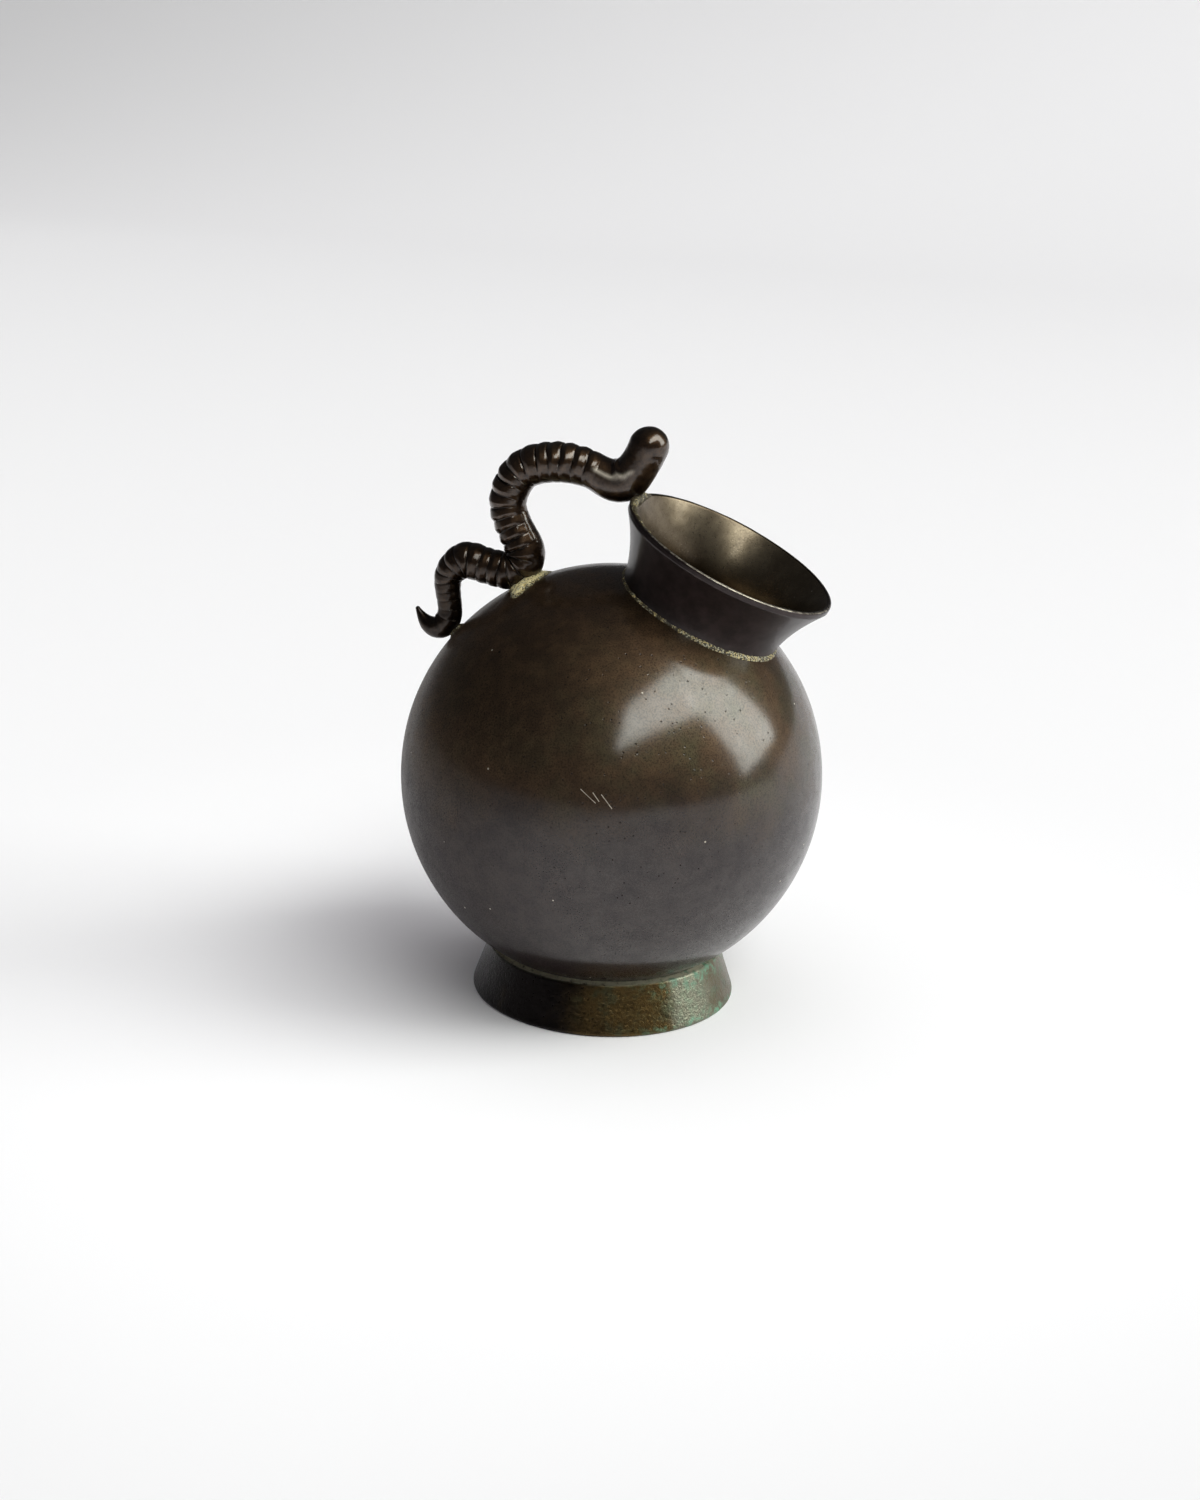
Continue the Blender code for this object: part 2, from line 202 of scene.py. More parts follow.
class VaseColours(bpy.types.PropertyGroup):
    """Colours of the patina, the bare metal and what grows on it."""

    umber: colour("Umber patina", (0.031, 0.0172, 0.0100), "Deep brown of the globe")
    tan: colour("Tan patina", (0.108, 0.067, 0.037), "Warm brown of the globe's upper half")
    russet: colour("Russet patina", (0.150, 0.086, 0.047), "Redder brown round the globe's top")
    moss: colour("Moss patina", (0.068, 0.071, 0.038), "Greenish brown clouds on the globe")
    plum: colour("Plum patina", (0.024, 0.0150, 0.0148), "Dull purple brown of the globe's lower half")
    soot: colour("Soot brown", (0.047, 0.033, 0.032), "Brown that shows through the neck's black")
    black: colour("Black patina", (0.010, 0.0075, 0.0070), "Brown black of the neck's outside and the worm")
    olive: colour("Olive bronze", (0.206, 0.166, 0.115), "Brushed olive bronze inside the neck")
    bister: colour("Bister", (0.036, 0.019, 0.006), "Warm dark brown down the neck's bore")
    drab: colour("Drab patina", (0.105, 0.066, 0.022), "Amber brown of the foot ring's front")
    # This grey olive also paints the highlight on the foot ring's front right.
    lichen_and_highlight: colour("Lichen patina", (0.190, 0.190, 0.140), "Grey olive of the foot ring's right side")
    chestnut: colour("Chestnut patina", (0.074, 0.041, 0.020), "Warm brown on the worm's rings")
    # This colours the worm's grooves near black.
    groove_black: colour("Grime", (0.003, 0.0024, 0.002), "Black dirt in the worm's grooves")
    # The rubbed colour also paints the highlight line along the worm's throat.
    rubbed: colour("Rubbed bronze", (0.62, 0.56, 0.46), "Metal that shows where edges are worn")
    scratch: colour("Scratched bronze", (0.70, 0.64, 0.54), "Bright metal in fresh scratches")
    verdigris: colour("Verdigris", (0.12, 0.30, 0.19), "Green crust along the foot ring's edges")
    brass: colour("Braze brass", (0.66, 0.52, 0.22), "Yellow filler metal")
    cream: colour("Cream", (0.86, 0.74, 0.40), "Pale filler metal where it is freshest")
    ash: colour("Ash", (0.50, 0.48, 0.35), "Pale grey green crust on the filler")
    flux: colour("Flux stain", (0.035, 0.027, 0.014), "Dark stain between the grains of the filler")
    solder: colour("Solder", (0.24, 0.22, 0.19), "Dull grey soft solder under the globe")


class StageSettings(bpy.types.PropertyGroup):
    """Floor, lights and camera."""

    # The paper colours paint light and shade on the floor, and are tinted a little magenta against the lamps'
    # green glow.
    paper_painted_pale_round_vase: colour("Clean paper", (0.95, 0.93, 0.963), "Pale paper right round the vase")
    paper: colour("Paper", (0.905, 0.885, 0.917), "Pale paper sweep further out")
    paper_painted_dark_towards_lights: colour("Lit paper", (0.818, 0.80, 0.829), "Paper towards the lights, where they are strongest")
    paper_painted_shade: colour("Grey paper", (0.409, 0.40, 0.414), "Paper beyond the left front and far behind")
    glow: colour("Glow", (0.965, 1.0, 0.945), "Colour of the window and the ceiling light")
    room: colour("Room", (0.05, 0.05, 0.052), "Dim room round the stage")
    window: strength("Window", 5.5, "Radiance of the tall soft light on the right")
    ceiling: strength("Ceiling", 5.4, "Radiance of the wide soft light above the camera's right")
    fill: strength("Fill", 0.82, "Radiance of the broad overhead light that opens the shadows")
    lens: number("Lens", 55.2, "Focal length in millimetres")
    camera_place: bpy.props.FloatVectorProperty(
        name="Camera place",
        description="Where the camera stands",
        default=(0.0879, -0.3535, 0.1588),
        size=3,
        unit="LENGTH",
        subtype="TRANSLATION",
    )
    camera_turn: angle("Camera turn", 14.29, "Turn of the view about the vertical, from looking along +Y")
    camera_pitch: angle("Camera pitch", 17.78, "How far the camera looks down")
    camera_roll: angle("Camera roll", 2.35, "Roll of the camera about its own axis")


def globe_centre():
    return Vector((0, 0, GLOBE_HEIGHT))


def half_chord(radius, distance):
    """How far a circle or sphere reaches at this distance from its middle."""
    return math.sqrt(radius**2 - distance**2)


def globe_underside(sizes, radius):
    """Height of the globe's underside at a radius."""
    return GLOBE_HEIGHT - half_chord(sizes.globe_radius, radius)


def steps_round(count):
    """Angles of even steps round a full turn."""
    return np.linspace(0, 2 * math.pi, count, endpoint=False)


def rotated(place, *turns):
    """A place turned about its own axes, by one (angle, axis) after another."""
    for turn, axis in turns:
        place = place @ Matrix.Rotation(turn, 4, axis)
    return place


def placed(points, place):
    """Points that are given from a place, moved to where it is."""
    return points @ np.array(place.to_3x3()).T + np.array(place.translation)


def arc(centre, radius, start, end, steps):
    """Points on an arc between two angles, which are measured from the radius axis."""
    angles = np.linspace(start, end, steps + 1)
    return [(centre[0] + radius * math.cos(a), centre[1] + radius * math.sin(a)) for a in angles]


def neck_place(sizes):
    """The neck's axis as a matrix: from the globe's centre, leaning to +X."""
    return rotated(Matrix.Translation(globe_centre()), (sizes.neck_tilt, "Y"))


def neck_root_height(sizes):
    return half_chord(sizes.globe_radius, sizes.neck_root_radius)


def neck_rim_height(sizes):
    return neck_root_height(sizes) + sizes.neck_length


def neck_side(sizes, along, depth=0.0):
    """A point of the neck's flare, from its root (0) to the rim band (1), this deep inside its outer side."""
    flare = sizes.neck_rim_radius - sizes.neck_root_radius
    rise = sizes.neck_length - sizes.rim_band
    radius = sizes.neck_root_radius + flare * along**sizes.neck_flare
    lean = math.atan(flare * sizes.neck_flare * along ** (sizes.neck_flare - 1) / rise)
    return radius - depth / math.cos(lean), neck_root_height(sizes) + rise * along


def on_globe(sizes, angle_from_top, height):
    """A point of the XZ plane over the globe, at an angle from the top towards -X."""
    way = Vector((-math.sin(angle_from_top), 0, math.cos(angle_from_top)))
    return globe_centre() + way * (sizes.globe_radius + height)


def rim_back(sizes):
    """The highest point of the neck's rim, where the worm's throat lies on it."""
    return neck_place(sizes) @ Vector((-sizes.neck_rim_radius, 0, neck_rim_height(sizes)))


def turned(outline, place, columns=COLUMNS):
    """Grid of points whose rows are the (radius, height) points of an outline, turned about a place's Z."""
    radius, height = np.array(outline).T
    turn = steps_round(columns)
    upright = np.repeat(height[:, None], columns, axis=1)
    grid = np.stack([np.outer(radius, np.cos(turn)), np.outer(radius, np.sin(turn)), upright], axis=-1)
    return placed(grid, place)


def add_object(name, data):
    obj = bpy.data.objects.new(name, data)
    bpy.context.scene.collection.objects.link(obj)
    return obj


def skin(name, grid, closed=False):
    """A mesh object over a grid of points whose rows run round the piece.

    A closed grid joins its last row to its first. An open one is closed by a point in each end row's middle.
    """
    rows, columns, _ = grid.shape
    index = np.arange(rows * columns).reshape(rows, columns)
    near = index if closed else index[:-1]
    far = np.roll(index, -1, axis=0) if closed else index[1:]
    quads = np.stack([near, np.roll(near, -1, axis=1), np.roll(far, -1, axis=1), far], axis=-1)
    points = grid.reshape(-1, 3).tolist()
    faces = quads.reshape(-1, 4).tolist()
    if not closed:
        for row in (0, -1):
            tip = len(points)
            points.append(grid[row].mean(axis=0).tolist())
            faces += [(a, b, tip) for a, b in zip(index[row].tolist(), np.roll(index[row], -1).tolist())]
    mesh = bpy.data.meshes.new(name)
    mesh.from_pydata(points, [], faces)
    bm = bmesh.new()
    bm.from_mesh(mesh)
    bmesh.ops.recalc_face_normals(bm, faces=bm.faces)
    bm.to_mesh(mesh)
    bm.free()
    mesh.shade_smooth()
    return add_object(name, mesh)


def lumps(points, size, seed):
    """Smooth noise from -1 to 1 at each point, with lumps of about this size."""
    shift = Vector((7.3, 3.1, 5.7)) * seed
    values = [noise.noise(Vector(point) / size + shift) for point in points.reshape(-1, 3)]
    return np.array(values).reshape(points.shape[:-1])


def places_of(obj):
    points = np.empty(len(obj.data.vertices) * 3)
    obj.data.vertices.foreach_get("co", points)
    return points.reshape(-1, 3)


def move_points(obj, points):
    obj.data.vertices.foreach_set("co", points.ravel())
    obj.data.update()


def roughen(obj, *layers):
    """Moves each point along its normal by smooth noise, in layers of size and height (mm) and seed."""
    points = places_of(obj)
    normals = np.empty(points.size)
    obj.data.vertex_normals.foreach_get("vector", normals)
    height = sum(height * MM * lumps(points, size * MM, seed) for size, height, seed in layers)
    move_points(obj, points + normals.reshape(-1, 3) * height[:, None])


def mark(obj, name, values):
    """Keeps a number for each point of the mesh, which the finish reads."""
    attribute = obj.data.attributes.new(name, "FLOAT", "POINT")
    attribute.data.foreach_set("value", np.asarray(values, np.float32))


def stand_for(obj, node, material):
    """Puts a finished piece in the place of its plain solid."""
    obj.data.materials.append(material)
    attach(obj, "root")
    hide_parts(node)


def smooth_step(values, start, end):
    x = np.clip((values - start) / (end - start), 0, 1)
    return x * x * (3 - 2 * x)


class Finish:
    """A material whose nodes are added one at a time. Its textures are measured in millimetres."""

    def __init__(self, name):
        self.material = bpy.data.materials.new(name)
        self.material.use_nodes = True
        self.nodes = self.material.node_tree.nodes
        self.links = self.material.node_tree.links
        self.shader = self.nodes["Principled BSDF"]
        place = self.add("ShaderNodeTexCoord").outputs["Object"]
        self.place = self.vector("SCALE", {0: place, "Scale": 1 / MM})

    def add(self, kind, inputs=None, **settings):
        node = self.nodes.new(kind)
        for name, value in settings.items():
            setattr(node, name, value)
        for key, value in (inputs or {}).items():
            self.join(node.inputs[key], value)
        return node

    def join(self, socket, value):
        """Links an output to the socket, or sets the socket to a constant."""
        if isinstance(value, bpy.types.NodeSocket):
            self.links.new(value, socket)
        elif socket.type == "RGBA" and len(value) == 3:
            socket.default_value = (*value, 1)
        else:
            socket.default_value = value

    def set(self, **sockets):
        """Joins the shader's sockets, with underscores for the spaces in their names."""
        for name, value in sockets.items():
            self.join(self.shader.inputs[name.replace("_", " ")], value)

    def vector(self, operation, inputs, result="Vector"):
        return self.add("ShaderNodeVectorMath", inputs, operation=operation).outputs[result]

    def noise(self, size, detail=3.0, rough=0.55, distortion=0.0):
        """Cloudy noise from 0 to 1 whose clouds are about this many millimetres across."""
        values = {"Vector": self.place, "Scale": 1 / size, "Detail": detail, "Roughness": rough}
        return self.add("ShaderNodeTexNoise", {**values, "Distortion": distortion}).outputs[0]

    def cells(self, size):
        """Distance to the nearest of scattered points, where 1 is this many millimetres."""
        return self.add("ShaderNodeTexVoronoi", {"Vector": self.place, "Scale": 1 / size}).outputs["Distance"]

    def spots(self, size, core, edge, most=1.0):
        """Scattered spots this many millimetres apart, full in the core and gone at the edge."""
        return self.range(self.cells(size), core, edge, most, 0.0)

    def kept(self, name):
        """A number that the mesh keeps for each point."""
        return self.add("ShaderNodeAttribute", attribute_name=name).outputs["Fac"]

    def range(self, value, start, end, low=0.0, high=1.0):
        """A smooth step from low to high as the value goes from start to end."""
        inputs = {"Value": value, "From Min": start, "From Max": end, "To Min": low, "To Max": high}
        return self.add("ShaderNodeMapRange", inputs, interpolation_type="SMOOTHSTEP").outputs[0]

    def math(self, operation, *values):
        return self.add("ShaderNodeMath", dict(enumerate(values)), operation=operation).outputs[0]

    def times(self, *values):
        product = values[0]
        for value in values[1:]:
            product = self.math("MULTIPLY", product, value)
        return product

    def blend(self, factor, first, second):
        """A colour between two others, by the mix node's sockets for colours."""
        return self.add("ShaderNodeMix", {0: factor, 6: first, 7: second}, data_type="RGBA").outputs[2]

    def between(self, factor, first, second):
        """A number between two others, by the mix node's sockets for numbers."""
        return self.add("ShaderNodeMix", {0: factor, 2: first, 3: second}, data_type="FLOAT").outputs[0]

    def towards(self, x, y):
        """How many millimetres a point lies from the middle of the floor in this direction."""
        return self.vector("DOT_PRODUCT", {0: self.place, 1: (x, y, 0)}, "Value")

    def stroke(self, start, end, width):
        """1 along a thin straight stroke between two points in millimetres, and 0 away from it."""
        start = Vector(start)
        reach = Vector(end) - start
        way = self.vector("SUBTRACT", {0: self.place, 1: start})
        ahead = self.vector("DOT_PRODUCT", {0: way, 1: reach / reach.length_squared}, "Value")
        along = self.add("ShaderNodeClamp", {0: ahead}).outputs[0]
        nearest = self.vector("SCALE", {0: reach, "Scale": along})
        gap = self.vector("DISTANCE", {0: way, 1: nearest}, "Value")
        return self.range(gap, 0.4 * width, width, 1.0, 0.0)

    def bump(self, height, distance, strength=1.0, normal=None):
        """The surface raised by a height from 0 to 1, over this many millimetres."""
        inputs = {"Height": height, "Distance": distance * MM, "Strength": strength}
        if normal:
            inputs["Normal"] = normal
        return self.add("ShaderNodeBump", inputs).outputs[0]


def scratch_ends(scratch):
    """Both ends of a scratch on the front of the globe, in millimetres."""
    radius = GLOBE_RADIUS / MM
    height = GLOBE_HEIGHT / MM
    ends = (scratch[:2], scratch[2:])
    return [(x, -math.sqrt(radius**2 - x**2 - (z - height) ** 2), z) for x, z in ends]


def globe_patina(colours):
    """Waxed bronze: warm cloudy browns above, plum below, fine grain, pits, specks and a few scratches."""
    f = Finish("umber_patina")
    across, _, height = f.add("ShaderNodeSeparateXYZ", {0: f.place}).outputs
    clouds = f.noise(13, detail=6, distortion=0.5)
    green = f.range(f.noise(8, detail=5, rough=0.6), 0.42, 0.66)
    mottle = f.noise(2.6, detail=6, rough=0.66)
    grain = f.noise(0.25, detail=3, rough=0.6)
    warm = f.range(f.math("ADD", height, f.times(f.math("SUBTRACT", clouds, 0.5), 30)), 34, 52)
    # The greenish clouds are made stronger towards +X, where the lamps' highlights fall, so that those show
    # grey green: a painted highlight colour over real patina.
    brown = f.blend(f.times(green, f.range(across, -14, 20, 0.2, 0.65)), colours.tan, colours.moss)
    brown = f.blend(f.range(height, 56, 70, 0.0, 0.6), brown, colours.russet)
    brown = f.blend(warm, colours.plum, brown)
    brown = f.blend(f.range(mottle, 0.38, 0.70, 0.42, 0.0), brown, colours.umber)
    brown = f.blend(f.range(grain, 0.46, 0.68, 0.0, 0.5), brown, colours.black)
    pocks = f.times(f.spots(1.1, 0.08, 0.17), f.range(f.noise(4.5), 0.42, 0.58))
    pits = f.math("MAXIMUM", f.spots(6.5, 0.02, 0.05), pocks)
    bare = f.spots(6.0, 0.016, 0.034)
    for scratch in SCRATCHES:
        bare = f.math("MAXIMUM", bare, f.stroke(*scratch_ends(scratch), SCRATCH_WIDTH))
    brown = f.blend(f.times(pits, 0.8), brown, colours.black)
    waxed = f.bump(pits, -0.04, 0.6, f.bump(mottle, 0.018, 0.4))
    # The wax thins towards -X, under the handle, and near the bottom, which dims reflections there: partly a
    # duller finish, partly painted shade.
    wax_and_shade = f.times(f.range(across, -32, 12, 0.22, 1.0), f.range(clouds, 0.3, 0.7, 0.92, 1.0))
    wax_and_shade = f.times(wax_and_shade, f.range(mottle, 0.3, 0.7, 1.0, 0.78), f.range(height, 10, 34, 0.84, 1.0))
    wax_and_shade = f.times(wax_and_shade, f.range(grain, 0.35, 0.65, 1.0, 0.84), f.range(pits, 0, 1, 1.0, 0.3))
    f.set(
        Base_Color=f.blend(bare, brown, colours.scratch),
        Metallic=1.0,
        Roughness=f.times(f.range(mottle, 0.25, 0.8, 0.56, 0.66), f.range(grain, 0.35, 0.65, 0.88, 1.12)),
        Normal=waxed,
        Coat_Weight=f.times(wax_and_shade, f.range(bare, 0, 1, 1, 0.2)),
        Coat_Roughness=0.17,
        Coat_IOR=1.67,
        Coat_Normal=waxed,
    )
    return f.material


def neck_patina(colours):
    """Glossy black brown outside, brushed olive inside, and metal worn bright along the rim."""
    f = Finish("black_patina")
    inside = f.kept("inside")
    worn = f.kept("worn")
    mottle = f.noise(2.4, detail=5, rough=0.62)
    grain = f.noise(0.3, detail=3)
    outside = f.blend(f.range(mottle, 0.3, 0.75, 0.5, 1.0), colours.black, colours.soot)
    bore = f.blend(f.range(mottle, 0.3, 0.7, 0.35, 0.0), colours.olive, colours.umber)
    bore = f.blend(f.range(grain, 0.5, 0.72, 0.0, 0.4), bore, colours.umber)
    bore = f.blend(f.kept("deep"), bore, colours.bister)
    chipped = f.range(f.math("ADD", worn, f.times(f.noise(0.9, detail=5, rough=0.75), 1.2)), 1.15, 1.5)
    specks = f.times(inside, f.spots(3.1, 0.03, 0.06, 0.6))
    colour_here = f.blend(chipped, f.blend(inside, outside, bore), colours.rubbed)
    polish = f.bump(grain, 0.006, 0.4, f.bump(mottle, 0.018, 0.4))
    bare = f.math("MAXIMUM", inside, chipped)
    f.set(
        Base_Color=f.blend(specks, colour_here, colours.scratch),
        Metallic=1.0,
        Roughness=f.between(inside, 0.5, f.range(grain, 0.3, 0.7, 0.27, 0.35)),
        Normal=polish,
        Coat_Weight=f.range(bare, 0, 1, 0.38, 0.12),
        Coat_Roughness=0.14,
        Coat_IOR=1.6,
        Coat_Normal=polish,
    )
    return f.material


def foot_patina(colours):
    """Satin bronze with a fine grain, black to amber to grey olive, with a rubbed lip and green crust. The
    black on the left is painted shade and the grey olive at the front right a painted highlight.
    """
    f = Finish("drab_patina")
    lip = f.kept("lip")
    damp = f.kept("damp")
    clouds = f.noise(5.5, detail=4, rough=0.55)
    ripple = f.noise(0.55, detail=4, rough=0.6, distortion=0.6)
    grain = f.noise(0.26, detail=3)
    # The tone paints shade, black on the ring's left, and a highlight, grey olive at its front right, over
    # real changes of hue.
    tone_shade_and_highlight = f.math("ADD", f.kept("tone_shade_and_highlight"), f.times(f.math("SUBTRACT", clouds, 0.5), 0.65))
    patina = f.blend(f.range(tone_shade_and_highlight, 0.05, 0.5), colours.black, colours.drab)
    green = f.times(f.range(f.noise(3.4, detail=4), 0.5, 0.68, 0.0, 0.7), f.range(tone_shade_and_highlight, 0.1, 0.4))
    patina = f.blend(green, patina, colours.moss)
    patina = f.blend(f.range(tone_shade_and_highlight, 0.55, 1.0), patina, colours.lichen_and_highlight)
    patina = f.blend(f.range(grain, 0.5, 0.72, 0.0, 0.4), patina, colours.black)
    crust = f.times(damp, f.range(f.noise(1.5, detail=6, rough=0.72), 0.44, 0.66))
    patina = f.blend(crust, patina, colours.verdigris)
    rubbed = f.times(lip, f.range(f.noise(0.8, detail=5, rough=0.7), 0.25, 0.5, 0.3, 1.0))
    waxed = f.bump(grain, 0.014, 0.6, f.bump(ripple, 0.12, 0.9))
    f.set(
        Base_Color=f.blend(f.times(rubbed, f.range(crust, 0.1, 0.5, 1.0, 0.2)), patina, colours.ash),
        Metallic=f.range(f.math("MAXIMUM", crust, f.times(rubbed, 0.8)), 0.1, 0.6, 1.0, 0.2),
        Roughness=f.math("ADD", f.range(ripple, 0.3, 0.7, 0.27, 0.36), f.times(crust, 0.3)),
        Normal=waxed,
        Coat_Weight=0.15,
        Coat_Roughness=0.2,
        Coat_IOR=1.55,
        Coat_Normal=waxed,
    )
    return f.material


def worm_patina(colours):
    """Waxed black brown with dark grooves and chestnut, rubbed rings, wax thinned towards the bottom as
    painted shade, and a painted highlight line along the throat's fold.
    """
    f = Finish("worm_patina")
    crown = f.kept("crown")
    groove = f.kept("groove")
    height = f.add("ShaderNodeSeparateXYZ", {0: f.place}).outputs["Z"]
    mottle = f.noise(1.6, detail=5, rough=0.65)
    dapple = f.noise(0.55, detail=3)
    grain = f.noise(0.22, detail=3)
    patina = f.blend(f.range(mottle, 0.35, 0.72), colours.umber, colours.chestnut)
    lip = f.times(f.range(groove, 0.03, 0.14), f.range(groove, 0.2, 0.4, 1.0, 0.0))
    worn = f.times(lip, f.range(f.noise(2.6, detail=4, rough=0.7), 0.54, 0.7, 0.0, 0.6))
    patina = f.blend(f.times(crown, 0.45), patina, colours.chestnut)
    patina = f.blend(f.range(height, 60, 80, 0.6, 0.0), patina, colours.black)
    # The fold is painted in the rubbed colour, and made less metallic below, as a highlight line along the
    # throat.
    fold_and_highlight = f.times(f.kept("fold_and_highlight"), f.range(mottle, 0.3, 0.6, 0.5, 0.9))
    patina = f.blend(f.math("MAXIMUM", worn, fold_and_highlight), patina, colours.rubbed)
    waxed = f.bump(grain, 0.006, 0.5, f.bump(dapple, 0.05, 0.5))
    # The wax thins towards the bottom, which dims the worm's reflection of the floor there: painted shade.
    waxy_and_shade = f.times(f.range(height, 62, 84, 0.4, 0.85), f.range(groove, 0.3, 1.0, 1.0, 0.1))
    waxy_and_shade = f.times(waxy_and_shade, f.range(mottle, 0.3, 0.6, 0.7, 1.0))
    f.set(
        # The grooves are coloured near black.
        Base_Color=f.blend(f.times(groove, 0.9), patina, colours.groove_black),
        Metallic=f.range(fold_and_highlight, 0, 0.8, 1.0, 0.3),
        Roughness=f.range(grain, 0.3, 0.7, 0.36, 0.46),
        Normal=waxed,
        Coat_Weight=waxy_and_shade,
        Coat_Roughness=0.1,
        Coat_IOR=1.65,
        Coat_Normal=waxed,
    )
    return f.material


def braze_metal(colours):
    """Granular filler metal: yellow where it is fresh, with an ashy crust and dark flux in its gaps."""
    f = Finish("braze_metal")
    bright = f.kept("bright")
    grains = f.cells(0.27)
    stain = f.noise(1.1, detail=4, rough=0.65)
    patch = f.range(f.math("ADD", stain, f.times(bright, 0.46)), 0.55, 0.8)
    gaps = f.math("SUBTRACT", grains, f.range(bright, 0.85, 1.0, 0.0, 0.26))
    shows = f.times(f.range(gaps, 0.3, 0.65, 1.0, 0.0), patch)
    filler = f.blend(f.range(f.noise(0.6, detail=3), 0.4, 0.62), colours.ash, colours.brass)
    filler = f.blend(f.times(f.range(bright, 0.7, 1.0), f.range(stain, 0.38, 0.54)), filler, colours.cream)
    f.set(
        Base_Color=f.blend(shows, colours.flux, filler),
        Metallic=f.times(shows, 0.15),
        Roughness=f.range(stain, 0.3, 0.7, 0.4, 0.55),
        Normal=f.bump(grains, -0.09, 0.8),
    )
    return f.material


def solder_metal(colours):
    """Dull grey soft solder with a frosty grain."""
    f = Finish("solder_metal")
    grain = f.noise(0.5, detail=4)
    f.set(
        Base_Color=f.blend(f.range(grain, 0.35, 0.7), colours.flux, colours.solder),
        Metallic=0.8,
        Roughness=f.range(grain, 0.3, 0.7, 0.45, 0.6),
        Normal=f.bump(grain, 0.05, 0.6),
    )
    return f.material


def paper(stage):
    """Matt paper with a faint tooth and painted light and shade: palest round the vase, darker towards the
    lights, and greying to the left front and far behind, where less light falls.
    """
    f = Finish("paper")
    tooth = f.noise(0.6, detail=3)
    away = f.vector("LENGTH", {0: f.place}, "Value")
    lit = f.towards(0.45, -0.89)
    left = f.towards(-0.8, -0.6)
    behind = f.towards(-0.6, 0.8)
    # Painted light and shade: darker towards the lights, paler round the vase, and greying far behind and to
    # the left front, where less light falls.
    sheet = f.blend(f.range(lit, 50, 200), stage.paper, stage.paper_painted_dark_towards_lights)
    sheet = f.blend(f.range(away, 60, 160), stage.paper_painted_pale_round_vase, sheet)
    sheet = f.blend(f.range(behind, 1200, 2300, 0, 0.7), sheet, stage.paper_painted_shade)
    f.set(
        Base_Color=f.blend(f.range(left, 80, 360), sheet, stage.paper_painted_shade),
        Roughness=0.9,
        Specular_IOR_Level=0.1,
        Normal=f.bump(tooth, 0.02, 0.15),
    )
    return f.material


def globe_outline(sizes):
    """From the inner pole up the inside to the opening under the neck, and down the outside."""
    opening = neck_side(sizes, 0, sizes.neck_wall)[0]
    inner = sizes.globe_radius - sizes.globe_wall
    pole = math.radians(-89.6)
    inside = arc((0, 0), inner, pole, math.acos(opening / inner), 60)
    outside = arc((0, 0), sizes.globe_radius, math.acos(opening / sizes.globe_radius), pole, 150)
    return inside + outside


class VASE_OT_globe(bpy.types.Operator):
    """Turn the hollow globe, slightly uneven from hammering"""

    bl_idname = "vase.globe"
    bl_label = "Globe"

    def execute(self, context):
        sizes = context.scene.vase_sizes
        globe = skin("bronze_globe", turned(globe_outline(sizes), neck_place(sizes)))
        roughen(globe, (11, 0.045, 1), (4.5, 0.012, 2))
        stand_for(globe, "globe", globe_patina(context.scene.vase_colours))
        return {"FINISHED"}


def neck_outline(sizes):
    """The neck's section, with how worn, how far inside and how deep each point is: rim, side and bore."""
    along = np.linspace(0, 1, 41)
    outer = [neck_side(sizes, a) for a in reversed(along)]
    walls = sizes.neck_wall - (sizes.neck_wall - sizes.rim_wall) * along**2
    across = [neck_side(sizes, a, wall)[0] for a, wall in zip(along, walls)]
    lean = math.atan((across[-1] - across[-2]) / (sizes.neck_length * (along[-1] - along[-2])))
    rounding = sizes.rim_round
    height = neck_rim_height(sizes) - rounding
    rise = sizes.neck_length - rounding * (1 - math.sin(lean))
    bore = [(r, neck_root_height(sizes) + rise * a) for r, a in zip(across, along)]
    bore[0] = (across[0], half_chord(sizes.globe_radius, across[0]))
    inner_centre = (bore[-1][0] + rounding * math.cos(lean), height)
    inner_corner = arc(inner_centre, rounding, math.pi - lean, math.pi / 2, 6)
    outer_corner = arc((outer[0][0] - rounding, height), rounding, math.pi / 2, 0, 6)
    band = [(outer[0][0], h) for h in np.linspace(height, outer[0][1], 5)[1:-1]]
    rows = inner_corner[1:] + outer_corner + band + outer + bore
    worn = np.pad(RIM_WEAR, (0, len(rows) - len(RIM_WEAR)))
    edge = [1.0] * (len(inner_corner) - 1) + [0.5]
    inside = np.pad(edge, (0, len(rows) - len(edge)))
    inside[-len(bore) :] = 1
    deep = [0.6] + [1.0] * (len(rows) - len(bore) - 1) + smooth_step(-along, -0.72, 0.05).tolist()
    return rows, worn, inside, deep


def facing(middle, reach, columns=COLUMNS):
    """1 on the side of a turned piece at this angle from +X, falling to 0 this far round from it."""
    turn = steps_round(columns)
    away = np.abs((turn - math.radians(middle) + math.pi) % (2 * math.pi) - math.pi)
    return smooth_step(-away, -math.radians(reach), 0)


class VASE_OT_neck(bpy.types.Operator):
    """Turn the leaning flared neck with its worn rim"""

    bl_idname = "vase.neck"
    bl_label = "Neck"

    def execute(self, context):
        sizes = context.scene.vase_sizes
        rows, worn, inside, deep = neck_outline(sizes)
        neck = skin("bronze_neck", turned(rows, neck_place(sizes)), closed=True)
        roughen(neck, (7, 0.05, 3), (2.2, 0.015, 4))
        rubbed = 0.25 + 0.5 * smooth_step(facing(-66, 110), 0, 0.5) + 0.25 * facing(-72, 50)
        mark(neck, "worn", np.outer(worn, rubbed).ravel())
        mark(neck, "inside", np.repeat(inside, COLUMNS))
        mark(neck, "deep", np.repeat(deep, COLUMNS))
        stand_for(neck, "neck", neck_patina(context.scene.vase_colours))
        return {"FINISHED"}


